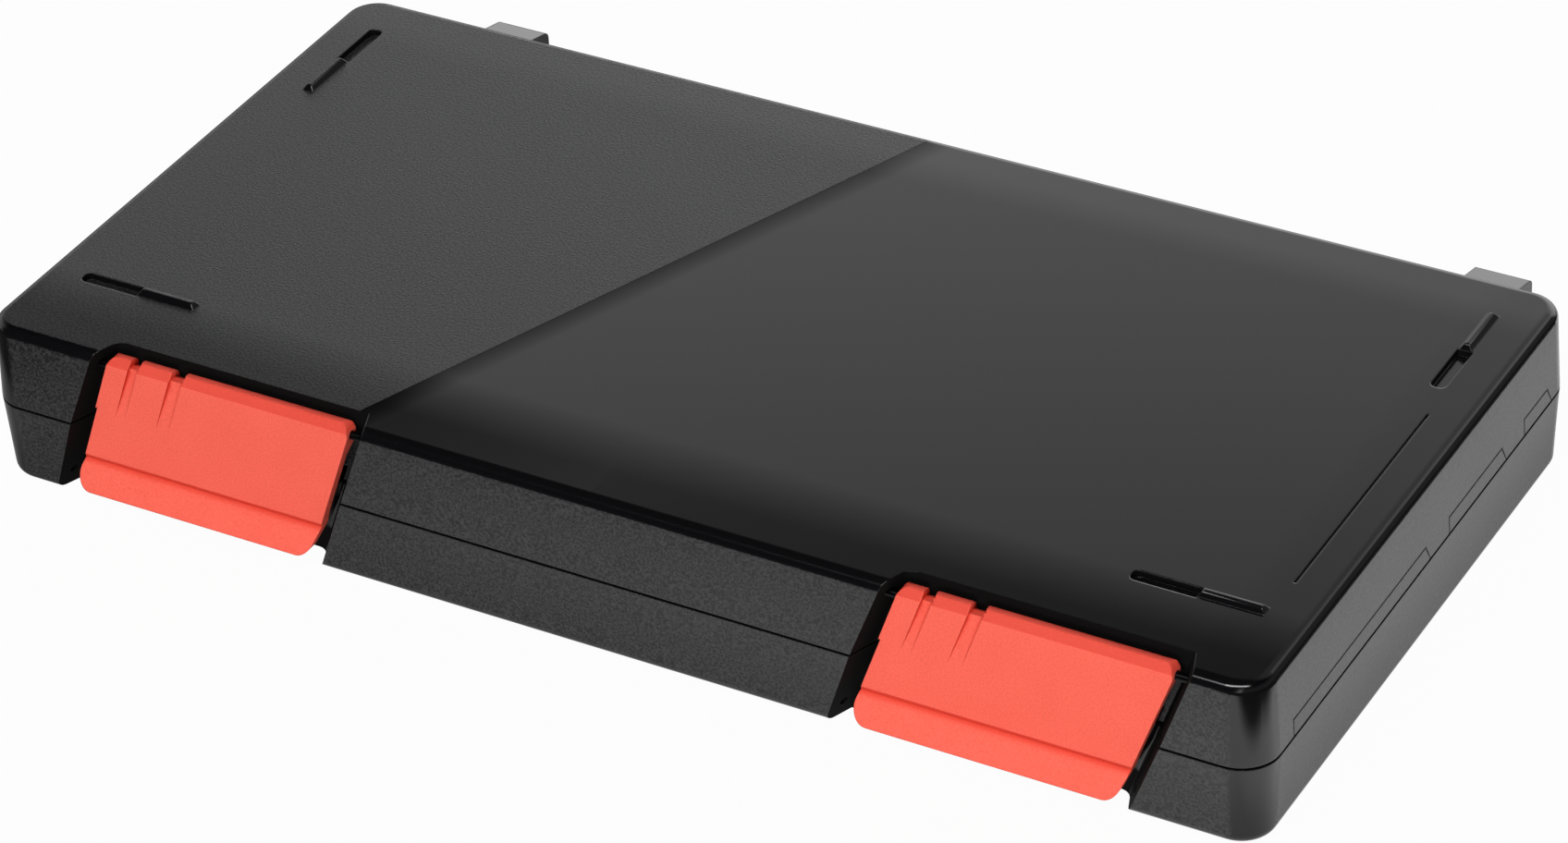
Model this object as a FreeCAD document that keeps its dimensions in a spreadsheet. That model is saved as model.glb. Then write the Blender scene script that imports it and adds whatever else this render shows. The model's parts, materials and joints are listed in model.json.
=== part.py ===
import FreeCAD, Part
import math
import os

import Sketcher
from FreeCAD import Rotation, Vector

# Flat tool case: two equal half shells on a rear pin hinge, closed by two slanted finger latches.
# Millimetres and degrees. X runs along the case, Y from the latches to the hinge, Z up from the underside.

SIZES = {
    # Half shells
    "case_length": 250,
    "case_depth": 126.8,
    "case_height": 32.4,
    "seam_gap": 0.5,
    "draft_angle": 2.8,
    "corner_radius": 7,
    "edge_round": 2,
    "side_wall": 2.4,
    "skin": 2.2,
    # Locating tongue along one end of the rim, with its rebate at the other end
    "tongue_length": 92,
    "tongue_height": 1.6,
    "tongue_thickness": 1,
    "tongue_clearance": 0.3,
    # Panels outlined by a fine line in the rim of one end
    "panel_height": 3.6,
    "panel_line_width": 0.3,
    "panel_line_sink": 0.4,
    "panel_slope": 2,
    "front_panel_start": 11.9,
    "middle_panel_length": 24.6,
    "rear_panel_length": 12.4,
    "rear_panel_end": 9,
    "panel_spacing": 7.3,
    # Stacking marks: half groove, half rib
    "mark_length": 24,
    "mark_width": 2.3,
    "rib_height": 1,
    "rib_taper": 35,
    "rib_round": 0.4,
    "stack_clearance": 0.3,
    "groove_end_round": 1.2,
    "front_mark_end_inset": 21,
    "front_mark_inset": 20.9,
    "rear_mark_end_inset": 10.4,
    "rear_mark_inset": 23.5,
    # Fine line beside the right-hand marks
    "line_width": 0.5,
    "line_sink": 0.5,
    "line_length": 53.1,
    "line_inset": 8.6,
    "line_start": 30,
    # Latch recesses
    "latch_inset": 46.6,
    "latch_slant": 20.4,
    "recess_depth": 6.2,
    "recess_flare": 20,
    "recess_corner_round": 2.4,
    "recess_wall": 2,
    "recess_side_wall": 2.2,
    "window_width": 38,
    "window_height": 2,
    "catch_bar_height": 1.3,
    "catch_bar_length": 42,
    "notch_width": 4,
    # Latches
    "latch_width": 50.4,
    "latch_jog": 0.4,
    "latch_jog_height": 20,
    "latch_side_gap": 3.2,
    "latch_face_setback": 1.8,
    "latch_plate": 2,
    "latch_foot_height": 2.8,
    "latch_top_radius": 2,
    "latch_foot_radius": 3,
    "barrel_radius": 2.4,
    "barrel_chamfer_height": 1.1,
    "barrel_chamfer_angle": 42,
    "barrel_relief_setback": 1.4,
    "barrel_relief_width": 2,
    "pivot_setback": 3.5,
    "pivot_drop": 3.4,
    "crease_height": 9,
    "crease_step": 0.7,
    "crease_fall": 1.2,
    "crease_round": 0.4,
    "lip_reach": 1,
    "hook_height": 1.5,
    "hook_gap": 0.25,
    "hook_width": 34,
    "groove_depth": 0.65,
    "groove_run": 11,
    "groove_notch_rise": 1.2,
    "groove_notch_fall": 35,
    "outer_groove_inset": 4.5,
    "outer_groove_width": 1.9,
    "inner_groove_inset": 13.1,
    "inner_groove_width": 2.6,
    "latch_pin_radius": 0.8,
    "latch_pin_seat": 2,
    # Rear hinge
    "hinge_inset": 23.8,
    "hinge_setback": 4.6,
    "lug_radius": 3.6,
    "lug_gap": 0.5,
    "lug_arm_offset": 2,
    "lug_arm_width": 10.4,
    "lug_arm_drop": 2.3,
    "lug_arm_slope": 15,
    "lug_arm_round": 1.6,
    "hinge_pin_radius": 1.5,
    "hinge_pin_recess": 0.4,
    # Fits
    "running_clearance": 0.05,
    "seat_clearance": 0.01,
    # Tool tray in the base
    "tray_clearance": 0.6,
    "tray_headroom": 1.6,
    "tray_wall": 1.4,
    "tray_floor": 1.6,
    "tray_corner_radius": 4,
    "trough_depth": 34,
    "middle_row_depth": 40,
    "cell_radius": 2.5,
    # Foam pad in the lid
    "pad_margin": 6,
    "pad_thickness": 7,
    "pad_corner_radius": 6,
}

TRAY_CELLS = {"middle": 3, "rear": 5}
SIDES = {"left": -1, "right": 1}

doc = FreeCAD.newDocument("tool_case")
sheet = doc.addObject("Spreadsheet::Sheet", "Sizes")
for row, (alias, size) in enumerate(SIZES.items(), start=1):
    sheet.set(f"A{row}", alias)
    sheet.set(f"B{row}", str(size))
    sheet.setAlias(f"B{row}", alias)
doc.recompute()

# Heights and depths that several pieces share, as expressions on the sheet
HALF_HEIGHT = "Sizes.case_height / 2"
HALF_LENGTH = "Sizes.case_length / 2"
HALF_DEPTH = "Sizes.case_depth / 2"
RIM = "Sizes.seam_gap / 2"
CEILING = f"({HALF_HEIGHT} - Sizes.skin)"
INNER_X = f"({HALF_LENGTH} - Sizes.side_wall)"
INNER_Y = f"({HALF_DEPTH} - Sizes.side_wall)"
SLANT = "tan(Sizes.latch_slant)"
LATCH_X = f"({HALF_LENGTH} - Sizes.latch_inset)"
RECESS_BACK = f"({HALF_DEPTH} - Sizes.recess_depth)"
RECESS_INNER = f"({RECESS_BACK} - Sizes.recess_wall)"
RECESS_HALF = "(Sizes.latch_width / 2 + Sizes.latch_side_gap)"
HOUSING_HALF = f"({RECESS_HALF} + Sizes.recess_side_wall)"
PIVOT_Y = f"({HALF_DEPTH} - Sizes.pivot_setback)"
PIVOT_Z = f"({HALF_HEIGHT} - Sizes.pivot_drop)"
HINGE_X = f"({HALF_LENGTH} - Sizes.hinge_inset)"
HINGE_Y = f"({HALF_DEPTH} + Sizes.hinge_setback)"
LATCH_SPAN = "(2 * Sizes.latch_width)"
TRAY_HALF = f"({INNER_X} - Sizes.tray_clearance)"
TRAY_HEIGHT = f"({CEILING} - Sizes.tray_headroom)"
CUT_PAST = "5"


def origin_plane(body, role):
    return next(plane for plane in body.Origin.OriginFeatures if plane.Role == role)


def new_body(name):
    body = doc.addObject("PartDesign::Body", name)
    body.Label = name
    return body


def new_sketch(body, name, role, lift):
    """Empty sketch parallel to one of the body's own origin planes, lifted along its normal."""
    sketch = body.newObject("Sketcher::SketchObject", name)
    sketch.AttachmentSupport = (origin_plane(body, role), "")
    sketch.MapMode = "FlatFace"
    sketch.setExpression("AttachmentOffset.Base.z", lift)
    return sketch


def drive(sketch, kind, geometry, point, expression):
    """Measure one point of the sketch from its origin by an expression."""
    size = float(sketch.evalExpression(expression))
    index = sketch.addConstraint(Sketcher.Constraint(kind, -1, 1, geometry, point, size))
    sketch.setExpression(f"Constraints[{index}]", expression)


def drive_radius(sketch, geometry, expression):
    size = float(sketch.evalExpression(expression))
    index = sketch.addConstraint(Sketcher.Constraint("Radius", geometry, size))
    sketch.setExpression(f"Constraints[{index}]", expression)


def round_corner(sketch, before, after, corner):
    """Arc between two sides of an outline, tangent to both, about a corner point that lies on both."""
    across, up, radius = corner
    first, second = sketch.Geometry[before], sketch.Geometry[after]
    start, end = first.EndPoint, second.StartPoint
    towards = (first.EndPoint - first.StartPoint).normalize()
    size = float(sketch.evalExpression(radius))
    centre = start + Vector(-towards.y, towards.x, 0) * size
    angles = [math.atan2(point.y - centre.y, point.x - centre.x) for point in (start, end)]
    arc = sketch.addGeometry(Part.ArcOfCircle(Part.Circle(centre, Vector(0, 0, 1), size), *angles))
    place = [float(sketch.evalExpression(part)) for part in (across, up)]
    point = sketch.addGeometry(Part.Point(Vector(*place, 0)), True)
    sketch.addConstraint(Sketcher.Constraint("Tangent", before, 2, arc, 1))
    sketch.addConstraint(Sketcher.Constraint("Tangent", arc, 2, after, 1))
    drive_radius(sketch, arc, radius)
    drive(sketch, "DistanceX", point, 1, across)
    drive(sketch, "DistanceY", point, 1, up)
    sketch.addConstraint(Sketcher.Constraint("PointOnObject", point, 1, before))
    sketch.addConstraint(Sketcher.Constraint("PointOnObject", point, 1, after))


def tangent_length(before, corner, after, radius):
    """Distance from a corner to where an arc of this radius meets its sides."""
    inward, outward = (corner - before).normalize(), (after - corner).normalize()
    return radius * math.tan(inward.getAngle(outward) / 2)


def draw_outline(sketch, corners):
    """Closed anticlockwise outline. A corner is a pair of expressions, and a third one rounds it."""
    def size(part):
        return float(sketch.evalExpression(part))

    count, first = len(corners), sketch.GeometryCount
    points = [Vector(size(corner[0]), size(corner[1]), 0) for corner in corners]
    trims = [tangent_length(points[index - 1], points[index], points[(index + 1) % count], size(corner[2]))
             if len(corner) == 3 else 0 for index, corner in enumerate(corners)]
    for index, point in enumerate(points):
        after = points[(index + 1) % count]
        towards = (after - point).normalize()
        sketch.addGeometry(Part.LineSegment(point + towards * trims[index],
                                            after - towards * trims[(index + 1) % count]))
    for index, corner in enumerate(corners):
        before, side = first + (index - 1) % count, first + index
        if len(corner) == 3:
            round_corner(sketch, before, side, corner)
        else:
            sketch.addConstraint(Sketcher.Constraint("Coincident", before, 2, side, 1))
            drive(sketch, "DistanceX", side, 1, corner[0])
            drive(sketch, "DistanceY", side, 1, corner[1])


def outline(body, name, role, corners, lift="0"):
    sketch = new_sketch(body, name, role, lift)
    draw_outline(sketch, corners)
    return sketch


def rectangle(low_x, low_y, high_x, high_y, *radius):
    return [(low_x, low_y, *radius), (high_x, low_y, *radius), (high_x, high_y, *radius),
            (low_x, high_y, *radius)]


def slanted(centre_x, half_width, low, high, low_radius=(), high_radius=(), lean=SLANT):
    """Parallelogram that leans towards +X with its height above the parting plane."""
    def corner(side, level, radius):
        return (f"{centre_x} + {side} * {half_width} + ({level}) * {lean}", level, *radius)
    return [corner(-1, low, low_radius), corner(1, low, low_radius),
            corner(1, high, high_radius), corner(-1, high, high_radius)]


def circle(body, name, across, up, radius, lift):
    """Round section across the length of the case."""
    sketch = new_sketch(body, name, "YZ_Plane", lift)
    size = float(sketch.evalExpression(radius))
    sketch.addGeometry(Part.Circle(Vector(0, 0, 0), Vector(0, 0, 1), size))
    drive(sketch, "DistanceX", 0, 3, across)
    drive(sketch, "DistanceY", 0, 3, up)
    drive_radius(sketch, 0, radius)
    return sketch


def extrude(body, kind, sketch, length, taper=None, reverse=False, symmetric=False):
    feature = body.newObject(f"PartDesign::{kind}", f"{sketch.Label}_{kind.lower()}")
    feature.Profile = sketch
    feature.setExpression("Length", length)
    if taper:
        feature.setExpression("TaperAngle", taper)
    feature.Reversed = reverse
    if symmetric:
        feature.SideType = "Symmetric"
    return feature


def pad(body, sketch, length, **settings):
    return extrude(body, "Pad", sketch, length, **settings)


def pocket(body, sketch, length, **settings):
    return extrude(body, "Pocket", sketch, length, **settings)


def fillet(body, name, radius, wanted):
    """Round every edge of the body so far that the test picks."""
    doc.recompute()
    base = body.Tip
    names = [f"Edge{index}" for index, edge in enumerate(base.Shape.Edges, start=1) if wanted(edge)]
    feature = body.newObject("PartDesign::Fillet", name)
    feature.Base = (base, names)
    feature.setExpression("Radius", radius)
    return feature


def at_level(level):
    """Test for edges that lie wholly at one height."""
    def test(edge):
        return abs(edge.BoundBox.ZMin - level) < 1e-4 and abs(edge.BoundBox.ZMax - level) < 1e-4
    return test


def number(expression):
    return float(sheet.evalExpression(expression.replace("Sizes.", "")))


def shell_walls(body):
    """Drafted tray-shaped half with rounded corners, open at the parting plane."""
    plan = outline(
        body, "plan", "XY_Plane",
        rectangle(f"-{HALF_LENGTH}", f"-{HALF_DEPTH}", HALF_LENGTH, HALF_DEPTH, "Sizes.corner_radius"), RIM)
    pad(body, plan, f"{HALF_HEIGHT} - {RIM}", taper="-Sizes.draft_angle")
    fillet(body, "top_round", "Sizes.edge_round", at_level(number(HALF_HEIGHT)))
    cavity = outline(
        body, "cavity", "XY_Plane",
        rectangle(f"-{INNER_X}", f"-{INNER_Y}", INNER_X, INNER_Y, "Sizes.corner_radius - Sizes.side_wall"),
        RIM)
    pocket(body, cavity, f"{CEILING} - {RIM}", reverse=True)


def left_recess_corner(centre_x):
    """Test for the upright edge between a recess's back and its left side."""
    back, centre, reach = number(f"-{RECESS_BACK}"), number(centre_x), number(RECESS_HALF)

    def test(edge):
        box = edge.BoundBox
        on_back = abs(box.YMin - back) < 1e-4 and abs(box.YMax - back) < 1e-4
        return on_back and box.ZLength > 1 and 0 < centre - box.Center.x < reach
    return test


def catch_openings(body, side, centre_x):
    """Window above the catch bar for the hook, and a notch at each end of the bar."""
    foot = f"{RIM} + Sizes.catch_bar_height"
    top = f"{foot} + Sizes.window_height"
    window = outline(
        body, f"{side}_window", "XZ_Plane",
        slanted(centre_x, "Sizes.window_width / 2", foot, top), RECESS_BACK)
    pocket(body, window, "Sizes.recess_wall")
    for end, sign in SIDES.items():
        notch_x = f"{centre_x} + {sign} * (Sizes.catch_bar_length + Sizes.notch_width) / 2"
        notch = outline(
            body, f"{side}_{end}_notch", "XZ_Plane",
            slanted(notch_x, "Sizes.notch_width / 2", f"-{CUT_PAST}", top), RECESS_BACK)
        pocket(body, notch, "Sizes.recess_wall")


def latch_recess(body, side, centre_x):
    """Slanted housing and recess for one latch, with its catch bar and the bores for the latch pin."""
    housing = outline(
        body, f"{side}_housing", "XZ_Plane",
        slanted(centre_x, HOUSING_HALF, RIM, f"{HALF_HEIGHT} - Sizes.skin / 2"), RECESS_INNER)
    pad(body, housing, f"{INNER_Y} - {RECESS_INNER} + Sizes.side_wall / 4")
    recess = outline(
        body, f"{side}_recess", "XZ_Plane",
        slanted(centre_x, RECESS_HALF, f"-{CUT_PAST}", f"{HALF_HEIGHT} + {CUT_PAST}"), HALF_DEPTH)
    pocket(body, recess, "Sizes.recess_depth", taper="-Sizes.recess_flare")
    fillet(body, f"{side}_recess_round", "Sizes.recess_corner_round", left_recess_corner(centre_x))
    catch_openings(body, side, centre_x)
    bore = circle(
        body, f"{side}_pin_bore", f"-{PIVOT_Y}", PIVOT_Z,
        "Sizes.latch_pin_radius + Sizes.seat_clearance", f"{centre_x} + {PIVOT_Z} * {SLANT}")
    pocket(body, bore, f"2 * ({HOUSING_HALF} + Sizes.recess_side_wall)", symmetric=True)


def hinge_lug(body, side, split_x):
    """Lug on the rear wall: an arm from near the top and a barrel round the hinge axis."""
    arm_root = f"({HALF_DEPTH} - Sizes.side_wall / 2)"
    arm_back = f"({HINGE_Y} + Sizes.lug_radius)"
    arm_top = f"({HALF_HEIGHT} - Sizes.lug_arm_drop)"
    arm_fall = f"({arm_back} - {HALF_DEPTH}) * tan(Sizes.lug_arm_slope)"
    arm = outline(
        body, f"{side}_lug_arm", "YZ_Plane",
        [(arm_root, RIM), (HINGE_Y, RIM), (HINGE_Y, "0"), (arm_back, "0"),
         (arm_back, f"{arm_top} - {arm_fall}", "Sizes.lug_arm_round"), (arm_root, arm_top)],
        f"{split_x} + Sizes.lug_arm_offset")
    pad(body, arm, "Sizes.lug_arm_width")
    barrel_start = f"{split_x} + Sizes.lug_gap / 2"
    barrel = circle(body, f"{side}_lug_barrel", HINGE_Y, "0", "Sizes.lug_radius", barrel_start)
    pad(body, barrel, "Sizes.lug_arm_offset + Sizes.lug_arm_width - Sizes.lug_gap / 2")
    bore = circle(
        body, f"{side}_lug_bore", HINGE_Y, "0", "Sizes.hinge_pin_radius + Sizes.running_clearance",
        barrel_start)
    pocket(body, bore, "Sizes.lug_arm_offset + Sizes.lug_arm_width", reverse=True)


def stacking_mark(body, name, rib, groove):
    """One mark: a rib that stands on the face and a round-ended groove for the rib of the next case."""
    pad(body, outline(body, f"{name}_rib", "XY_Plane", rib, HALF_HEIGHT), "Sizes.rib_height",
        taper="-Sizes.rib_taper")
    pocket(body, outline(body, f"{name}_groove", "XY_Plane", groove, HALF_HEIGHT),
           "Sizes.rib_height + Sizes.stack_clearance")


def rounded_end(corners, end):
    """Groove outline with the two corners of its far end rounded."""
    return [(*corner, "Sizes.groove_end_round") if index in end else corner
            for index, corner in enumerate(corners)]


def stacking_marks(body):
    """Front marks run along X and rear marks along Y, so that a turned-over half meets them."""
    half, run = "Sizes.mark_width / 2", "Sizes.mark_length / 2"
    wide = f"({half} + Sizes.stack_clearance)"
    for side, sign in SIDES.items():
        x = f"{sign} * ({HALF_LENGTH} - Sizes.front_mark_end_inset)"
        y = f"-({HALF_DEPTH} - Sizes.front_mark_inset)"
        far = f"{x} - {run} - Sizes.stack_clearance"
        stacking_mark(
            body, f"front_{side}",
            rectangle(x, f"{y} - {half}", f"{x} + {run}", f"{y} + {half}"),
            rounded_end(rectangle(far, f"{y} - {wide}", x, f"{y} + {wide}"), (0, 3)))
        x = f"{sign} * ({HALF_LENGTH} - Sizes.rear_mark_end_inset)"
        y = f"({HALF_DEPTH} - Sizes.rear_mark_inset)"
        rear = f"{y} + {run}", f"{y} + {run} + Sizes.stack_clearance"
        front = f"{y} - {run}", f"{y} - {run} - Sizes.stack_clearance"
        rib, groove = ((y, rear[0]), (front[1], y)) if sign > 0 else ((front[0], y), (y, rear[1]))
        stacking_mark(
            body, f"rear_{side}",
            rectangle(f"{x} - {half}", rib[0], f"{x} + {half}", rib[1]),
            rounded_end(rectangle(f"{x} - {wide}", groove[0], f"{x} + {wide}", groove[1]),
                        (0, 1) if sign > 0 else (2, 3)))


def fine_line(body):
    x = f"({HALF_LENGTH} - Sizes.line_inset)"
    start = f"(Sizes.line_start - {HALF_DEPTH})"
    line = outline(
        body, "fine_line", "XY_Plane",
        rectangle(x, start, f"{x} + Sizes.line_width", f"{start} + Sizes.line_length"), HALF_HEIGHT)
    pocket(body, line, "Sizes.line_sink")


def panel_outline(start, end, inset, foot):
    """Panel with a sloped rear end, drawn a little inside its own edge."""
    top = f"Sizes.panel_height - {inset}"
    return [(f"{start} + {inset}", foot), (f"{end} - {inset}", foot),
            (f"{end} - Sizes.panel_slope - {inset}", top), (f"{start} + {inset}", top)]


def rim_panels(body):
    """Three panels above the seam, outlined by fine lines. The front one takes the length left over."""
    line = "Sizes.panel_line_width"
    rear_end = f"({HALF_DEPTH} - Sizes.rear_panel_end)"
    rear_start = f"({rear_end} - Sizes.rear_panel_length)"
    middle_end = f"({rear_start} - Sizes.panel_spacing)"
    middle_start = f"({middle_end} - Sizes.middle_panel_length)"
    spans = {
        "front": (f"(Sizes.front_panel_start - {HALF_DEPTH})", f"({middle_start} - Sizes.panel_spacing)"),
        "middle": (middle_start, middle_end),
        "rear": (rear_start, rear_end),
    }
    for name, (start, end) in spans.items():
        panel = new_sketch(body, f"{name}_panel", "YZ_Plane", f"{HALF_LENGTH} - Sizes.panel_line_sink")
        draw_outline(panel, panel_outline(start, end, "0", f"-2 * {line}"))
        draw_outline(panel, panel_outline(start, end, line, f"-{line}"))
        pocket(body, panel, CUT_PAST, reverse=True)


def rim_tongue(body):
    """Tongue on the right-hand rim that drops into the rebate of the other half's left-hand rim."""
    half = "Sizes.tongue_length / 2"
    tongue = outline(
        body, "tongue", "XY_Plane",
        rectangle(INNER_X, f"-{half}", f"{INNER_X} + Sizes.tongue_thickness", half), f"-Sizes.tongue_height")
    pad(body, tongue, f"Sizes.tongue_height + {RIM}")
    slot = f"({half} + Sizes.tongue_clearance)"
    rebate = outline(
        body, "rebate", "XY_Plane",
        rectangle(f"-{INNER_X} - Sizes.tongue_thickness - Sizes.tongue_clearance", f"-{slot}",
                  f"-{INNER_X} + Sizes.side_wall", slot), RIM)
    pocket(body, rebate, "Sizes.tongue_height + Sizes.tongue_clearance", reverse=True)


def half_shell(name, turned):
    """One moulding serves as lid and, turned over about the Y axis, as base."""
    body = new_body(name)
    shell_walls(body)
    for side, sign in SIDES.items():
        latch_recess(body, side, f"{sign} * {LATCH_X}")
    for side, sign in SIDES.items():
        hinge_lug(body, side, f"{sign} * {HINGE_X}")
    stacking_marks(body)
    fillet(body, "rib_rounds", "Sizes.rib_round", at_level(number(f"{HALF_HEIGHT} + Sizes.rib_height")))
    fine_line(body)
    rim_panels(body)
    rim_tongue(body)
    if turned:
        body.Placement.Rotation = Rotation(Vector(0, 1, 0), 180)
    body.setExpression("Placement.Base.z", HALF_HEIGHT)
    return body


def latch_profile(body):
    """Plate, flared finger lip and hook of a latch, drawn across its width."""
    face = f"-({HALF_DEPTH} - Sizes.latch_face_setback)"
    back = f"{face} + Sizes.latch_plate"
    foot = f"(Sizes.latch_foot_height - {HALF_HEIGHT})"
    crease = f"(Sizes.crease_height - {HALF_HEIGHT})"
    lip = f"-({HALF_DEPTH} + Sizes.lip_reach)"
    lip_top = f"{crease} - Sizes.crease_fall"
    section = outline(body, "section", "YZ_Plane", [
        (lip, foot), (f"{lip} + Sizes.latch_plate", foot),
        (f"{back} + Sizes.crease_step", lip_top), (back, f"{crease} + Sizes.latch_plate"),
        (back, f"{PIVOT_Z} - 2 * Sizes.barrel_radius"), (f"Sizes.barrel_radius - {PIVOT_Y}", PIVOT_Z),
        (face, PIVOT_Z), (face, crease, "Sizes.crease_round"), (f"{face} + Sizes.crease_step", lip_top)])
    pad(body, section, LATCH_SPAN, symmetric=True)
    barrel = circle(body, "barrel", f"-{PIVOT_Y}", PIVOT_Z, "Sizes.barrel_radius", "0")
    pad(body, barrel, LATCH_SPAN, symmetric=True)
    chamfer = f"{PIVOT_Z} + Sizes.barrel_chamfer_height"
    top = f"{PIVOT_Z} + 2 * Sizes.barrel_radius"
    slope_end = f"{face} + ({top} - ({chamfer})) / tan(Sizes.barrel_chamfer_angle)"
    front = f"{face} - {CUT_PAST}"
    trim = outline(body, "front_trim", "YZ_Plane", [
        (front, f"{PIVOT_Z} - 2 * Sizes.barrel_radius"), (face, f"{PIVOT_Z} - 2 * Sizes.barrel_radius"),
        (face, chamfer), (slope_end, top), (front, top)])
    pocket(body, trim, LATCH_SPAN, symmetric=True)
    hook_top = f"-({RIM} + Sizes.catch_bar_height + Sizes.hook_gap)"
    hook = outline(body, "hook", "YZ_Plane", rectangle(
        f"{back} - Sizes.latch_plate / 2", f"{hook_top} - Sizes.hook_height",
        f"-({RECESS_BACK} + Sizes.hook_gap)", hook_top), f"-{SLANT} * Sizes.hook_height")
    pad(body, hook, "Sizes.hook_width", symmetric=True)


def latch_outline(body):
    """Trim the latch to a leaning parallelogram with rounded corners and a small jog in its left side."""
    top, foot = f"{PIVOT_Z} + Sizes.barrel_radius", f"Sizes.latch_foot_height - {HALF_HEIGHT}"
    jog = f"Sizes.latch_jog_height - {HALF_HEIGHT}"
    frame = new_sketch(body, "frame", "XZ_Plane", HALF_DEPTH)
    far_x, far_z = LATCH_SPAN, f"({HALF_HEIGHT} + {CUT_PAST})"
    draw_outline(frame, rectangle(f"-{far_x}", f"-{far_z}", far_x, far_z))
    lower = slanted("Sizes.latch_jog / 2", "(Sizes.latch_width - Sizes.latch_jog) / 2", foot, jog,
                    low_radius=("Sizes.latch_foot_radius",))
    upper = slanted("0", "Sizes.latch_width / 2", jog, top, high_radius=("Sizes.latch_top_radius",))
    draw_outline(frame, [*lower[:2], *upper[2:], upper[0], lower[3]])
    pocket(body, frame, f"2 * {HALF_DEPTH}", symmetric=True)


def face_cut(body, name, start, lean_back, middle, width):
    """Cut along the latch's lean, whose floor leaves the face at one height and leans back from there."""
    sketch = new_sketch(body, name, "XZ_Plane", f"{HALF_DEPTH} - Sizes.latch_face_setback")
    sketch.AttachmentOffset.Rotation = Rotation(Vector(1, 0, 0), -1)
    sketch.setExpression("AttachmentOffset.Rotation.Angle", f"-({lean_back})")
    sketch.setExpression("AttachmentOffset.Base.y", start)
    draw_outline(sketch, slanted(
        f"{middle} + ({start}) * {SLANT}", f"{width} / 2", "0", f"Sizes.groove_run + {CUT_PAST}",
        lean=f"{SLANT} * cos({lean_back})"))
    pocket(body, sketch, CUT_PAST, reverse=True)


def latch_groove(body, name, inset, width):
    """Groove that runs out in the face at its foot and notches the barrel at its top."""
    middle = f"({inset} + {width} / 2 - Sizes.latch_width / 2)"
    foot = f"{PIVOT_Z} + Sizes.barrel_chamfer_height - Sizes.groove_run"
    face_cut(body, name, foot, "atan(Sizes.groove_depth / Sizes.groove_run)", middle, width)
    face_cut(body, f"{name}_notch", f"{PIVOT_Z} + Sizes.groove_notch_rise", "90", middle, width)
    to_face = "(Sizes.pivot_setback - Sizes.latch_face_setback)"
    fall_start = (f"{PIVOT_Z} + Sizes.groove_notch_rise / cos(Sizes.groove_notch_fall)"
                  f" + {to_face} * tan(Sizes.groove_notch_fall)")
    face_cut(body, f"{name}_notch_fall", fall_start, "90 + Sizes.groove_notch_fall", middle, width)


def barrel_relief(body):
    """Shorter back of the barrel at both ends, clear of the recess's rounded corner."""
    reach = "2 * Sizes.barrel_radius"
    for side, sign in SIDES.items():
        relief = outline(
            body, f"{side}_barrel_relief", "XZ_Plane",
            slanted(f"{sign} * Sizes.latch_width / 2", "Sizes.barrel_relief_width", f"{PIVOT_Z} - {reach}",
                    f"{PIVOT_Z} + {reach}"), f"{PIVOT_Y} - Sizes.barrel_relief_setback")
        pocket(body, relief, reach)


def latch(name, sign):
    body = new_body(name)
    latch_profile(body)
    latch_outline(body)
    barrel_relief(body)
    latch_groove(body, "outer_groove", "Sizes.outer_groove_inset", "Sizes.outer_groove_width")
    latch_groove(body, "inner_groove", "Sizes.inner_groove_inset", "Sizes.inner_groove_width")
    bore = circle(
        body, "bore", f"-{PIVOT_Y}", PIVOT_Z, "Sizes.latch_pin_radius + Sizes.running_clearance", "0")
    pocket(body, bore, LATCH_SPAN, symmetric=True)
    body.setExpression("Placement.Base.x", f"{sign} * {LATCH_X}")
    body.setExpression("Placement.Base.z", HALF_HEIGHT)


def pin(name, radius, half_length, x, y, z):
    """Plain steel pin along X, centred on a point."""
    rod = doc.addObject("Part::Cylinder", name)
    rod.Label = name
    rod.setExpression("Radius", radius)
    rod.setExpression("Height", f"2 * ({half_length})")
    rod.Placement.Rotation = Rotation(Vector(0, 1, 0), 90)
    rod.setExpression("Placement.Base.x", f"{x} - ({half_length})")
    rod.setExpression("Placement.Base.y", y)
    rod.setExpression("Placement.Base.z", z)


def latch_pin(name, sign):
    reach = f"{RECESS_HALF} - Sizes.pivot_setback * tan(Sizes.recess_flare) + Sizes.latch_pin_seat"
    pin(name, "Sizes.latch_pin_radius", reach, f"{sign} * {LATCH_X} + {PIVOT_Z} * {SLANT}", f"-{PIVOT_Y}",
        f"{HALF_HEIGHT} + {PIVOT_Z}")


def hinge_pin(name, sign):
    reach = "Sizes.lug_arm_offset + Sizes.lug_arm_width - Sizes.hinge_pin_recess"
    pin(name, "Sizes.hinge_pin_radius", reach, f"{sign} * {HINGE_X}", HINGE_Y, HALF_HEIGHT)


def tray_row(body, name, front, depth, count):
    """Row of equal compartments across the tray."""
    span = f"2 * ({TRAY_HALF} - Sizes.tray_wall)"
    cell = f"(({span} - {count - 1} * Sizes.tray_wall) / {count})"
    for index in range(count):
        left = f"Sizes.tray_wall - {TRAY_HALF} + {index} * ({cell} + Sizes.tray_wall)"
        hollow = outline(
            body, f"{name}_{index + 1}", "XY_Plane",
            rectangle(left, front, f"{left} + {cell}", f"{front} + {depth}", "Sizes.cell_radius"),
            TRAY_HEIGHT)
        pocket(body, hollow, f"{TRAY_HEIGHT} - Sizes.tray_floor")


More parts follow.
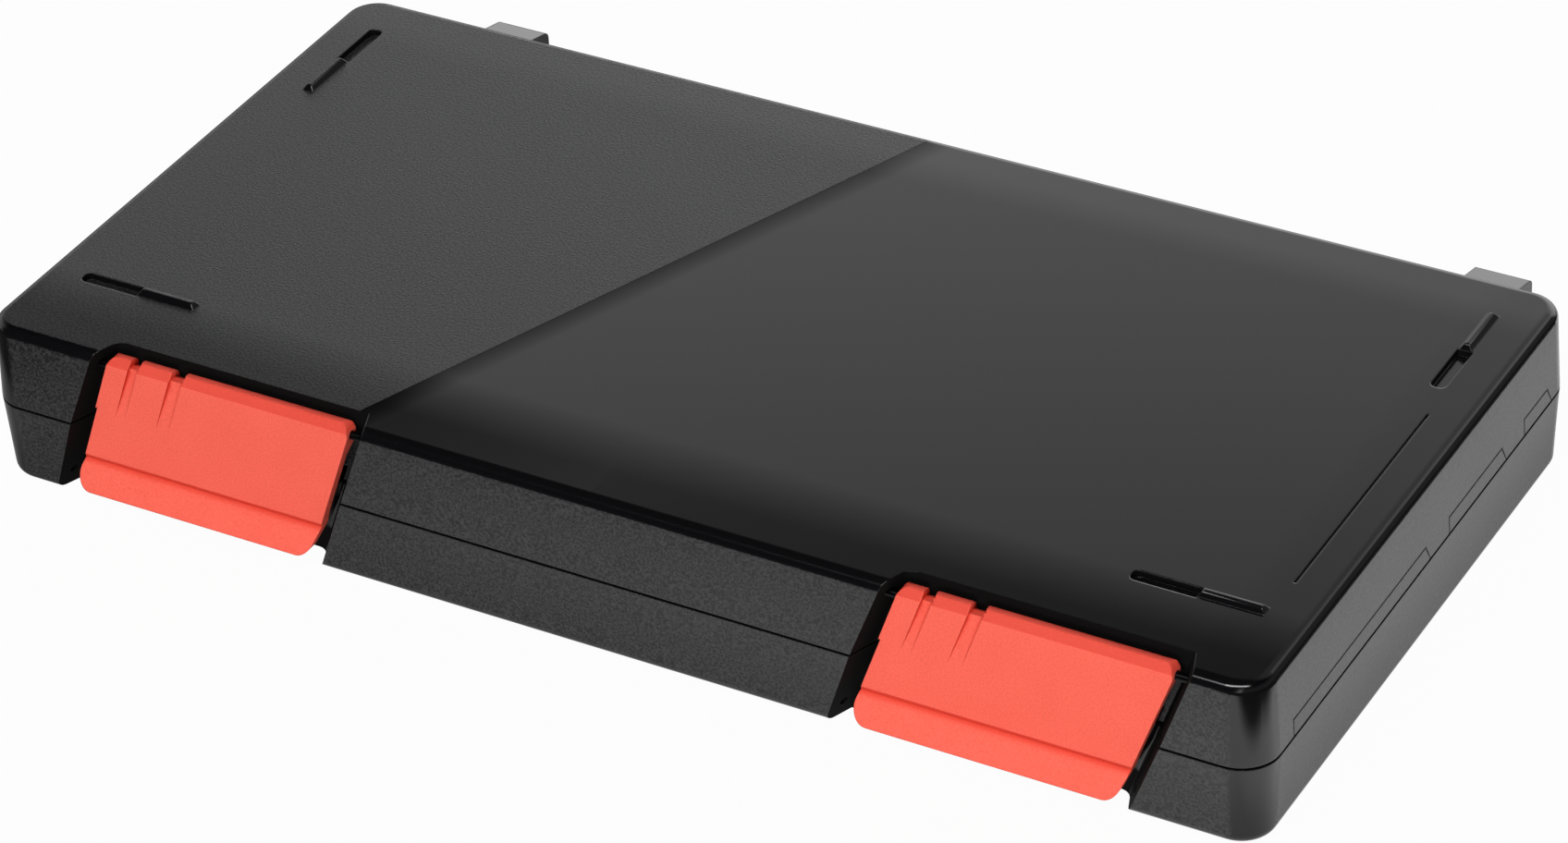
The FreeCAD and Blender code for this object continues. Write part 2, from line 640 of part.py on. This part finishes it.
def tool_tray():
    """Moulded insert on the base's floor: a trough along the front and two rows of compartments."""
    body = new_body("tool_tray")
    front, rear = f"(Sizes.tray_clearance - {RECESS_INNER})", f"({INNER_Y} - Sizes.tray_clearance)"
    block = outline(
        body, "block", "XY_Plane",
        rectangle(f"-{TRAY_HALF}", front, TRAY_HALF, rear, "Sizes.tray_corner_radius"))
    pad(body, block, TRAY_HEIGHT)
    row_front = f"({front} + Sizes.tray_wall)"
    tray_row(body, "trough", row_front, "Sizes.trough_depth", 1)
    row_front = f"({row_front} + Sizes.trough_depth + Sizes.tray_wall)"
    tray_row(body, "middle_cell", row_front, "Sizes.middle_row_depth", TRAY_CELLS["middle"])
    row_front = f"({row_front} + Sizes.middle_row_depth + Sizes.tray_wall)"
    tray_row(body, "rear_cell", row_front, f"({rear} - Sizes.tray_wall - {row_front})", TRAY_CELLS["rear"])
    body.setExpression("Placement.Base.z", "Sizes.skin")


def lid_foam_pad():
    """Foam pad glued to the inside of the lid."""
    body = new_body("lid_foam_pad")
    edge_x = f"({INNER_X} - Sizes.pad_margin)"
    sheet_outline = outline(
        body, "sheet", "XY_Plane",
        rectangle(f"-{edge_x}", f"Sizes.pad_margin - {RECESS_INNER}", edge_x, f"{INNER_Y} - Sizes.pad_margin",
                  "Sizes.pad_corner_radius"))
    pad(body, sheet_outline, "Sizes.pad_thickness")
    body.setExpression("Placement.Base.z", "Sizes.case_height - Sizes.skin - Sizes.pad_thickness")


half_shell("base_shell", turned=True)
half_shell("lid_shell", turned=False)
for side, sign in SIDES.items():
    latch(f"latch_{side}", sign)
    latch_pin(f"latch_pin_{side}", sign)
    hinge_pin(f"hinge_pin_{side}", sign)
tool_tray()
lid_foam_pad()
doc.recompute()


def sub_parts():
    return [item for item in doc.Objects if item.TypeId in ("PartDesign::Body", "Part::Cylinder")]


def check_document():
    """Stop on a failed object, a feature that changes nothing or a sub-part that is not one sound solid."""
    for item in doc.Objects:
        faults = {"Invalid", "Error"} & set(item.State)
        if faults:
            raise RuntimeError(f"{item.Label}: {faults}")
        if item.TypeId in ("PartDesign::Pad", "PartDesign::Pocket") and item.BaseFeature:
            grown = item.Shape.Volume - item.BaseFeature.Shape.Volume
            if grown * (1 if item.TypeId.endswith("Pad") else -1) <= 0:
                raise RuntimeError(f"{item.Label} changes nothing")
    for item in sub_parts():
        if item.Shape.isNull() or not item.Shape.isValid() or len(item.Shape.Solids) != 1:
            raise RuntimeError(f"{item.Label}: bad shape")


check_document()
os.makedirs("parts", exist_ok=True)
for item in sub_parts():
    item.Shape.exportStep(f"parts/{item.Label}.step")
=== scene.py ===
import json
import math

import bmesh
import bpy
from mathutils import Matrix, Vector


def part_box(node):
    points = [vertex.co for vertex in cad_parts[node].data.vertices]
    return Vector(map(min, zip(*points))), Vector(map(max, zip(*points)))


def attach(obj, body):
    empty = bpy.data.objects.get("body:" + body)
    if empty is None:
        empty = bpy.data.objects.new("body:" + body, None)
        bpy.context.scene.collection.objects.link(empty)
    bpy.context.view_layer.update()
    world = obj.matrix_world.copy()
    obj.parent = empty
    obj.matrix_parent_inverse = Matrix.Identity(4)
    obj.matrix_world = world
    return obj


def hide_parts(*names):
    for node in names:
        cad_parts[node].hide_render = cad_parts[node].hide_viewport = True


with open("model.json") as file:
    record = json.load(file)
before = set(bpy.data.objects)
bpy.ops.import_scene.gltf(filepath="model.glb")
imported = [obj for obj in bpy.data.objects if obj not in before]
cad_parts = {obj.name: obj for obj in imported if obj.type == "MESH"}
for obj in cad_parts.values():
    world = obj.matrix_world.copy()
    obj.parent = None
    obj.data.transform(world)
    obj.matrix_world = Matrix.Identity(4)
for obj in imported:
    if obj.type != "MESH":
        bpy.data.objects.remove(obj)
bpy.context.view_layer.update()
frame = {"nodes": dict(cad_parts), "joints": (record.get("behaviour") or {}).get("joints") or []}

# Flat black tool case with two red-orange finger latches, on a white studio floor. Metres throughout.

MM = 0.001
CASE_LOW, CASE_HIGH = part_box("base_shell")[0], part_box("lid_shell")[1]
PIVOTS = {joint["name"]: joint["pos_m"] for joint in frame["joints"]}
PARTING, LATCH_PIVOT = PIVOTS["lid_hinge"][2], PIVOTS["left_latch_pivot"]
RIB_HEIGHT = -CASE_LOW.z
TOP = CASE_HIGH.z - RIB_HEIGHT
HALF_LENGTH = CASE_HIGH.x
HALF_DEPTH = -CASE_LOW.y

# Camera of the photograph
PHOTO_SIZE = 1696, 912
FOCAL_PIXELS = 6124
SENSOR = 36
CAMERA_AIM = Vector((7.1, -8.7, 16.2)) * MM
CAMERA_DISTANCE = 989.8 * MM
CAMERA_AZIMUTH, CAMERA_ELEVATION, CAMERA_ROLL = 31.09, 34.61, -3.29

# Studio
FLOOR_SIZE = 6
FLOOR_COLOUR = 0.5, 0.5, 0.5, 1
FLOOR_GLOW = 0.97
# Floor in reflections: a painted reflection, a glowing sheet brighter to the right and dimmer far from the
# case, with a painted shadow near the case's foot
FLOOR_DIM_FROM, FLOOR_DIM_FULL = 52 * MM, 75 * MM
FLOOR_MIDDLE, FLOOR_RISE, FLOOR_LEAST, FLOOR_MOST = 0.86, 3.5, 0.05, 1.6
FLOOR_SIDEWAYS = 1.6
FOOT_RUN, FOOT_SHADOW_LOSS = 26 * MM, 0.4
HORIZON_LEVEL, ZENITH_LEVEL = 2.3, 0.05
DARK_FROM, DARK_FULL = math.sin(math.radians(20)), math.sin(math.radians(48))
LEFT_FROM, LEFT_FULL, LEFT_LOSS = 0.46, 0.62, 0.58
RIGHT_FROM, RIGHT_FULL, RIGHT_LOSS = 0.36, 0.52, 0.9
PATCH_TOWARDS, PATCH_ANGLES, PATCH_LEVEL = Vector((0.16, 0.705, 0.69)), (30, 15), 0.36
CARD_TOWARDS, CARD_ANGLES, CARD_LEVEL = Vector((-0.456, -0.806, 0.376)), (55, 35), 0.05
STRIP_TOWARDS, STRIP_ANGLES, STRIP_LEVEL = Vector((0.08, -0.53, 0.844)), (30, 20), 20
STRIP_ACROSS, STRIP_HALF_WIDTH = Vector((-0.385, 0.764, 0.52)), 0.09
LAMP_AZIMUTH, LAMP_ELEVATION, LAMP_DISTANCE, LAMP_SIZE, LAMP_WATTS = 22, 8, 1.3, 0.4, 8.9

# Moulded shells: grained all over but for a polished field on the right of a slanting line across the top
LINE_X, LINE_SLOPE = -25.4 * MM, 0.4005
STEP_HEIGHT, STEP_RUN = 0.15 * MM, 5 * MM
FRONT_FALL = {"slope": 0.056, "run": 22 * MM, "blend": 13 * MM}
LEFT_STEEPER = 14
EDGE_FALL = {"slope": 0.02, "run": 16 * MM, "blend": 8 * MM}
GRAIN_SIZE, GRAIN_HEIGHT, GRAIN_ROUGHNESS = 0.45 * MM, 0.055 * MM, 0.25
POLISH_ROUGHNESS, BROAD_SPOTS, BROAD_ROUGHNESS = 0.09, 20 * MM, 0.03
EDGE_ROUND = 0.35 * MM
SHELL_BLACK, SHELL_SPECKS = (0.002, 0.002, 0.0025, 1), (0.032, 0.032, 0.033, 1)
SHELL_DULL = 0.004, 0.004, 0.004, 1

# Dull black places of the shells: walls of recesses and grooves, latch bores and rims at the seam
RECESS_BACK, RECESS_DEEP, RECESS_SHADE = -57.1 * MM, -59 * MM, 26.5 * MM
CORNER_RADIUS, CORNER_FADE = 7 * MM, 2 * MM
GROOVE_FLOOR, GROOVE_MOUTH = 1.4 * MM, 0.15 * MM
GROOVE_FROM_SIDE, GROOVE_FROM_FRONT = 5 * MM, 9 * MM
BORE_EDGE, SEAM_HALF = 0.9 * MM, 0.3 * MM
FADE = 0.1 * MM

# Latches: painted shade, a darker red in the crease above the finger lip and along the top edge
CREASE_LOW, CREASE_HIGH, CREASE_SHADE_SHARE, CREASE_SHADE_REACH = 6.7 * MM, 9 * MM, 0.75, 2.4 * MM
TOP_EDGE_LOW, TOP_EDGE_SHADE_SHARE = LATCH_PIVOT[2] - 5 * MM, 0.6
LATCH_RED, LATCH_LIGHT, LATCH_SHADE_RED = (0.76, 0.095, 0.06, 1), (0.95, 0.145, 0.1, 1), (0.66, 0.035, 0.016, 1)
LATCH_MOTTLE, LATCH_SPOTS, LATCH_GRAIN = 0.35 * MM, 9 * MM, 0.008 * MM

# Foam pad in the lid
FOAM_PITCH = 14 * MM
FOAM_WAVE = 3.2 * MM
FOAM_CELL = 0.9 * MM
FOAM_CORNER = 6 * MM
FOAM_STEPS = 6


class Value:
    """Number socket of a finish. Each operator adds a Math node."""

    def __init__(self, finish, socket):
        self.finish = finish
        self.socket = socket

    def math(self, operation, *others, clamp=False):
        return self.finish.node("Math", {"operation": operation, "use_clamp": clamp},
                                dict(enumerate((self, *others))))

    def __add__(self, other):
        return self.math("ADD", other)

    def __sub__(self, other):
        return self.math("SUBTRACT", other)

    def __mul__(self, other):
        return self.math("MULTIPLY", other)

    def __truediv__(self, other):
        return self.math("DIVIDE", other)

    def __rsub__(self, other):
        return (self * -1).math("ADD", other)

    def __neg__(self):
        return self * -1

    __radd__ = __add__
    __rmul__ = __mul__

    def __abs__(self):
        return self.math("ABSOLUTE")

    def clamped(self):
        return self.math("ADD", 0, clamp=True)

    def most(self, other):
        return self.math("MAXIMUM", other)

    def step(self, low, high):
        """Smooth rise from 0 at low to 1 at high."""
        return self.finish.node("MapRange", {"interpolation_type": "SMOOTHSTEP"},
                                {"Value": self, "From Min": low, "From Max": high})

    def up_to(self, limit, fade):
        """1 up to a limit, then a smooth fall to 0."""
        return 1 - self.step(limit, limit + fade)

    def leads(self):
        """1 on faces that look along the axis of this part of a normal."""
        return self.step(0.5, 0.8)


class Finish:
    """Node tree of a material or the world."""

    def __init__(self, owner):
        owner.use_nodes = True
        self.owner = owner
        self.tree = owner.node_tree
        self.tree.nodes.clear()

    def node(self, kind, settings, sockets, output=0):
        """New node with its settings made first, then its sockets, by name or number."""
        made = self.tree.nodes.new(f"ShaderNode{kind}")
        for name, setting in settings.items():
            setattr(made, name, setting)
        for key, value in sockets.items():
            if isinstance(value, Value):
                self.tree.links.new(value.socket, made.inputs[key])
            else:
                made.inputs[key].default_value = value
        return Value(self, made.outputs[output]) if made.outputs else made

    def axes(self, vector):
        """X, Y and Z of a vector."""
        first = self.node("SeparateXYZ", {}, {0: vector})
        return [Value(self, socket) for socket in first.socket.node.outputs]

    def place(self):
        return self.node("TexCoord", {}, {}, "Object")

    def facing(self):
        return self.node("TexCoord", {}, {}, "Normal")

    def noise(self, size, detail=2, stretch=(1, 1, 1)):
        """Noise from 0 to 1 with spots of about this size."""
        where = self.node("Mapping", {}, {"Vector": self.place(), "Scale": stretch})
        return self.node("TexNoise", {}, {"Vector": where, "Scale": 1 / size, "Detail": detail})

    def blend(self, share, low, high):
        """Colour between two colours."""
        return self.node("Mix", {"data_type": "RGBA"}, {0: share, 6: low, 7: high}, 2)

    def between(self, share, first, second):
        """Direction between two directions."""
        return self.node("Mix", {"data_type": "VECTOR"}, {0: share, 4: first, 5: second}, 1)

    def rounded(self, radius):
        """Normal with sharp edges rounded off."""
        return self.node("Bevel", {"samples": 6}, {"Radius": radius})

    def openness(self, reach):
        """1 on open faces, less in creases narrower than this reach."""
        return self.node("AmbientOcclusion", {"samples": 8, "only_local": True}, {"Distance": reach}, "AO")

    def relief(self, height, normal):
        """Normal of a surface with this height in metres."""
        return self.node("Bump", {}, {"Height": height, "Distance": 1, "Strength": 1, "Normal": normal})

    def plastic(self, **sockets):
        """Principled shader, with spaces in socket names written as underscores."""
        named = {name.replace("_", " "): value for name, value in sockets.items()}
        return self.node("BsdfPrincipled", {}, named)

    def mix(self, share, first, second):
        return self.node("MixShader", {}, {0: share, 1: first, 2: second})

    def shown(self, shader):
        """Material or world that shows this shader."""
        kind = "OutputWorld" if isinstance(self.owner, bpy.types.World) else "OutputMaterial"
        self.node(kind, {}, {"Surface": shader})
        return self.owner

    def surface(self, **sockets):
        return self.shown(self.plastic(**sockets))


def material(name):
    return Finish(bpy.data.materials.new(name))


def shell_plastic(name, turned):
    """Black moulding. Grained faces, a polished field on top, glossy rounds and dull black hollows."""
    finish = material(name)
    x, y, z = finish.axes(finish.place())
    across, along, up = (abs(part) for part in finish.axes(finish.facing()))
    if turned:
        x, z = -x, 2 * PARTING - z
    beyond_line = (x - LINE_X - y * LINE_SLOPE) * math.cos(math.atan(LINE_SLOPE))
    on_top = up.step(0.9, 0.98) * z.step(TOP - 2 * MM, TOP - 1 * MM)
    flat = across.most(along).most(up).step(0.975, 0.995)
    polished = on_top * beyond_line.step(-FADE, FADE)
    grained = flat * (1 - polished)
    fine, broad = finish.noise(GRAIN_SIZE, 3), finish.noise(BROAD_SPOTS)
    specks = fine.step(0.3, 0.7)
    field_step = 1 - (beyond_line / STEP_RUN).clamped()
    fall = (edge_fall(abs(x) - HALF_LENGTH, **EDGE_FALL) + edge_fall(y - HALF_DEPTH, **EDGE_FALL)
            + edge_fall(-y - HALF_DEPTH, **FRONT_FALL) * (1 + (-x).most(0) * LEFT_STEEPER))
    rounded, grain = finish.rounded(EDGE_ROUND), grained * fine * GRAIN_HEIGHT
    on_walls = finish.relief(grain, rounded)
    on_lid = finish.relief(grain + field_step * field_step * STEP_HEIGHT - fall, rounded)
    shiny = finish.plastic(
        Base_Color=finish.blend(grained * specks, SHELL_BLACK, SHELL_SPECKS), IOR=1.5,
        Roughness=POLISH_ROUGHNESS + grained * GRAIN_ROUGHNESS + broad * BROAD_ROUGHNESS,
        Normal=finish.between(on_top, on_walls, on_lid))
    dull = finish.plastic(Base_Color=SHELL_DULL, Roughness=0.8, Specular_IOR_Level=0.1)
    return finish.shown(finish.mix(dull_places((x, y, z), (across, along, up)), shiny, dull))


def dull_places(place, facing):
    """1 on the walls of recesses and grooves, in the latch bores and on the rims inside the seam."""
    (x, y, z), (across, along, up) = place, facing
    between_ends = abs(x).up_to(HALF_LENGTH - CORNER_RADIUS - CORNER_FADE, CORNER_FADE)
    in_recess = y.up_to(RECESS_BACK, 2 * FADE)
    recess_side = across.leads() * in_recess * between_ends
    recess_back = (along.leads() * in_recess * y.step(RECESS_DEEP, RECESS_DEEP + 5 * FADE)
                   * z.step(RECESS_SHADE, RECESS_SHADE + 1 * MM))
    in_groove = (z.step(TOP - GROOVE_FLOOR, TOP - GROOVE_FLOOR + FADE)
                 * z.up_to(TOP - GROOVE_MOUTH - FADE, FADE)
                 * abs(x).up_to(HALF_LENGTH - GROOVE_FROM_SIDE, FADE)
                 * abs(y).up_to(HALF_DEPTH - GROOVE_FROM_FRONT, FADE))
    groove_wall = in_groove * (1 - up.leads())
    off_y, off_z = y - LATCH_PIVOT[1], z - LATCH_PIVOT[2]
    bore = between_ends * (
        1 - (off_y * off_y + off_z * off_z).step(BORE_EDGE ** 2, (BORE_EDGE + FADE) ** 2))
    rim = abs(z - PARTING).up_to(SEAM_HALF, 0.2 * SEAM_HALF) * up.leads()
    return recess_side.most(recess_back).most(rim).most(groove_wall).most(bore)


def edge_fall(beyond_edge, slope, run, blend):
    """Fall of the top towards an edge: a blend from flat, then an even slope."""
    past = beyond_edge + run
    bend = (past / blend).clamped()
    return (bend * bend * (blend / 2) + (past - blend).most(0)) * slope


def latch_plastic():
    """Satin red-orange moulding with a faint mottle, and painted shade: darker red in creases and along the
    top edge.
    """
    finish = material("latch_red_orange")
    fine, broad = finish.noise(LATCH_MOTTLE, 3), finish.noise(LATCH_SPOTS)
    face = finish.blend(broad * 0.4 + fine.step(0.3, 0.7) * 0.6, LATCH_RED, LATCH_LIGHT)
    height = finish.axes(finish.place())[2]
    _, inward, upward = finish.axes(finish.facing())
    # Painted shade: the crease above the finger lip, the upward-facing top edge and narrow creases (ambient
    # occlusion) turn darker red
    crease = (height.step(CREASE_LOW, CREASE_LOW + 1 * MM) * height.up_to(CREASE_HIGH - 3 * FADE, 3 * FADE)
              * (-inward).step(0.1, 0.4))
    top_edge_shade = height.step(TOP_EDGE_LOW, TOP_EDGE_LOW + 1 * MM) * upward.step(0.12, 0.5)
    occlusion_shade = 1 - finish.openness(CREASE_SHADE_REACH).step(0.5, 0.97)
    painted_shade = occlusion_shade.most(crease * CREASE_SHADE_SHARE).most(top_edge_shade * TOP_EDGE_SHADE_SHARE)
    return finish.surface(
        Base_Color=finish.blend(painted_shade, face, LATCH_SHADE_RED), Roughness=0.5 + fine * 0.1, IOR=1.5,
        Specular_IOR_Level=0.25, Normal=finish.relief(fine * LATCH_GRAIN, finish.rounded(EDGE_ROUND)))


def pin_steel(name, dark, light):
    """Drawn rod with fine lines along its length."""
    finish = material(name)
    lines = finish.noise(0.12 * MM, 2, (0.02, 1, 1))
    colour = finish.blend(lines, dark, light)
    return finish.surface(
        Base_Color=colour, Metallic=1, Roughness=0.22 + lines * 0.16,
        Normal=finish.relief(lines * (0.004 * MM), finish.rounded(0.1 * MM)))


def tray_plastic():
    """Dark grey moulding with a leather-like grain."""
    finish = material("tray_dark_grey")
    fine, broad = finish.noise(0.6 * MM, 4), finish.noise(25 * MM)
    colour = finish.blend(fine, (0.028, 0.028, 0.03, 1), (0.045, 0.045, 0.048, 1))
    return finish.surface(
        Base_Color=colour, Roughness=0.42 + fine * 0.12 + broad * 0.05, IOR=1.5,
        Normal=finish.relief(fine * (0.03 * MM), finish.rounded(EDGE_ROUND)))


def foam():
    """Open-cell charcoal foam: pits between fine struts."""
    finish = material("foam_charcoal")
    cells = finish.node("TexVoronoi", {"feature": "DISTANCE_TO_EDGE"},
                        {"Vector": finish.place(), "Scale": 1 / FOAM_CELL})
    struts = 1 - cells.step(0.02, 0.2)
    broad = finish.noise(6 * MM, 3)
    # Painted shade: the pits between the struts are coloured darker than the struts; the broad spots are
    # random tone
    colour = finish.blend(struts * 0.7 + broad * 0.3, (0.009, 0.009, 0.01, 1), (0.055, 0.055, 0.059, 1))
    return finish.surface(
        Base_Color=colour, Roughness=0.95, Sheen_Weight=0.15,
        Normal=finish.relief(struts * (0.25 * MM), finish.node("NewGeometry", {}, {}, "Normal")))


def egg_crate_pad(name):
    """Foam pad glued to the lid, its lower face cut in bumps and hollows."""
    low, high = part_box("lid_foam_pad")
    centre, size = (low + high) / 2, high - low
    columns, rows = (2 * round(extent / FOAM_PITCH / 2) * FOAM_STEPS for extent in size.xy)
    mesh = bmesh.new()
    bmesh.ops.create_grid(mesh, x_segments=columns, y_segments=rows, size=0.5)
    half = size.xy / 2
    inner = half - Vector((FOAM_CORNER, FOAM_CORNER))
    for corner in mesh.verts:
        x, y = corner.co.x * size.x, corner.co.y * size.y
        wave = math.cos(2 * math.pi * x / FOAM_PITCH) * math.cos(2 * math.pi * y / FOAM_PITCH)
        past = Vector((max(abs(x) - inner.x, 0), max(abs(y) - inner.y, 0)))
        if past.x and past.y and past.length > FOAM_CORNER:
            past *= FOAM_CORNER / past.length
            x, y = math.copysign(inner.x + past.x, x), math.copysign(inner.y + past.y, y)
        corner.co = centre.x + x, centre.y + y, low.z + (1 + wave) / 2 * FOAM_WAVE
    rim = [edge for edge in mesh.edges if edge.is_boundary]
    walls = bmesh.ops.extrude_edge_only(mesh, edges=rim)["geom"]
    for corner in (item for item in walls if isinstance(item, bmesh.types.BMVert)):
        corner.co.z = high.z
    bmesh.ops.contextual_create(mesh, geom=[edge for edge in mesh.edges if edge.is_boundary])
    bmesh.ops.recalc_face_normals(mesh, faces=mesh.faces)
    return finished(name, mesh)


def finished(name, mesh):
    """Object of a modelled mesh, smooth but for its sharp edges."""
    for face in mesh.faces:
        face.smooth = len(face.verts) == 4
    data = bpy.data.meshes.new(name)
    mesh.to_mesh(data)
    mesh.free()
    piece = bpy.data.objects.new(name, data)
    bpy.context.scene.collection.objects.link(piece)
    return piece


def paint(piece, finish):
    piece.data.materials.clear()
    piece.data.materials.append(finish)


def dress_case():
    nodes = frame["nodes"]
    paint(nodes["lid_shell"], shell_plastic("shell_black_lid", turned=False))
    paint(nodes["base_shell"], shell_plastic("shell_black_base", turned=True))
    latch = latch_plastic()
    steel = pin_steel("pin_steel_drawn", (0.48, 0.48, 0.49, 1), (0.62, 0.62, 0.63, 1))
    black_steel = pin_steel("pin_steel_blackened", (0.006, 0.006, 0.007, 1), (0.02, 0.02, 0.021, 1))
    for side in ("left", "right"):
        paint(nodes[f"latch_{side}"], latch)
        paint(nodes[f"latch_pin_{side}"], black_steel)
        paint(nodes[f"hinge_pin_{side}"], steel)
    paint(nodes["tool_tray"], tray_plastic())
    pad = egg_crate_pad("lid_foam_egg_crate")
    paint(pad, foam())
    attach(pad, "lid")
    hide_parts("lid_foam_pad")


def floor():
    """White floor that keeps a soft shadow. Reflections show it as a glowing sheet of painted light,
    brighter to the right and dimmer far off, with a painted shadow near the case's foot.
    """
    mesh = bmesh.new()
    bmesh.ops.create_grid(mesh, size=FLOOR_SIZE / 2)
    bmesh.ops.translate(mesh, verts=mesh.verts, vec=(0, 0, CASE_LOW.z))
    piece = finished("studio_floor", mesh)
    finish = material("floor_white")
    x, y, _ = finish.axes(finish.place())
    mirrored = ray(finish, "Glossy")
    # Painted reflection: in glossy rays the floor glows brighter to the right, dims far off and darkens near
    # the case as a painted shadow
    away = (abs(x) - HALF_LENGTH).most(0) * FLOOR_SIDEWAYS + (-y - HALF_DEPTH).most(0)
    foot_shadow = 1 - (1 - away.step(0, FOOT_RUN)) * FOOT_SHADOW_LOSS
    painted_sheet = (FLOOR_MIDDLE + x * FLOOR_RISE) * foot_shadow * (1 - away.step(FLOOR_DIM_FROM, FLOOR_DIM_FULL))
    level = 1 + mirrored * (painted_sheet.most(FLOOR_LEAST) - 1)
    matt = finish.node("BsdfDiffuse", {}, {"Color": FLOOR_COLOUR})
    brightest = *[FLOOR_MOST] * 3, 1
    glow = finish.node("Emission", {}, {"Color": finish.blend(level / FLOOR_MOST, (0, 0, 0, 1), brightest)})
    share = ray(finish, "Camera").most(mirrored).most(ray(finish, "Transmission")) * FLOOR_GLOW
    paint(piece, finish.shown(finish.mix(share, matt, glow)))


def ray(finish, kind):
    return finish.node("LightPath", {}, {}, f"Is {kind} Ray")


def studio_light():
    """Bright horizon, dark overhead, a bright patch behind, a dark card, a strip light and one soft lamp."""
    world = bpy.data.worlds.new("studio")
    bpy.context.scene.world = world
    finish = Finish(world)
    x, y, z = finish.axes(finish.node("TexCoord", {}, {}, "Generated"))
    level = HORIZON_LEVEL + z.step(DARK_FROM, DARK_FULL) * (ZENITH_LEVEL - HORIZON_LEVEL)
    level = level * (1 - (-x).step(LEFT_FROM, LEFT_FULL) * LEFT_LOSS)
    level = level * (1 - x.step(RIGHT_FROM, RIGHT_FULL) * RIGHT_LOSS)

    def along(towards):
        return x * towards.x + y * towards.y + z * towards.z

    def spot(towards, angles):
        """1 within the second angle of a direction, 0 beyond the first."""
        return along(towards).step(*(math.cos(math.radians(angle)) for angle in angles))

    level = level + spot(PATCH_TOWARDS, PATCH_ANGLES) * PATCH_LEVEL
    card = spot(CARD_TOWARDS, CARD_ANGLES)
    strip = (spot(STRIP_TOWARDS, STRIP_ANGLES)
             * abs(along(STRIP_ACROSS)).up_to(STRIP_HALF_WIDTH / 2, STRIP_HALF_WIDTH / 2))
    level = level + card * (CARD_LEVEL - level) + strip * STRIP_LEVEL
    finish.shown(finish.node("Background", {}, {"Strength": level + ray(finish, "Camera") * (1 - level)}))

    lamp = bpy.data.lights.new("soft_lamp", "AREA")
    lamp.energy, lamp.size = LAMP_WATTS, LAMP_SIZE
    holder = bpy.data.objects.new("soft_lamp", lamp)
    holder.matrix_world = turned_towards(CAMERA_AIM, LAMP_AZIMUTH, LAMP_ELEVATION, 0, LAMP_DISTANCE)
    holder.visible_glossy = False
    bpy.context.scene.collection.objects.link(holder)


def turned_towards(aim, azimuth, elevation, roll, distance):
    """Placement at a distance from a point, looking at it. Azimuth 0 looks along +Y."""
    turn = (Matrix.Rotation(math.radians(azimuth), 4, "Z")
            @ Matrix.Rotation(math.radians(90 - elevation), 4, "X")
            @ Matrix.Rotation(math.radians(roll), 4, "Z"))
    return Matrix.Translation(aim) @ turn @ Matrix.Translation((0, 0, distance))


def camera():
    data = bpy.data.cameras.new("photo_camera")
    data.sensor_width = SENSOR
    data.lens = SENSOR * FOCAL_PIXELS / PHOTO_SIZE[0]
    eye = bpy.data.objects.new("photo_camera", data)
    eye.matrix_world = turned_towards(
        CAMERA_AIM, CAMERA_AZIMUTH, CAMERA_ELEVATION, CAMERA_ROLL, CAMERA_DISTANCE)
    bpy.context.scene.collection.objects.link(eye)
    bpy.context.scene.camera = eye


dress_case()
floor()
studio_light()
camera()
bpy.context.scene.view_settings.view_transform = "Standard"
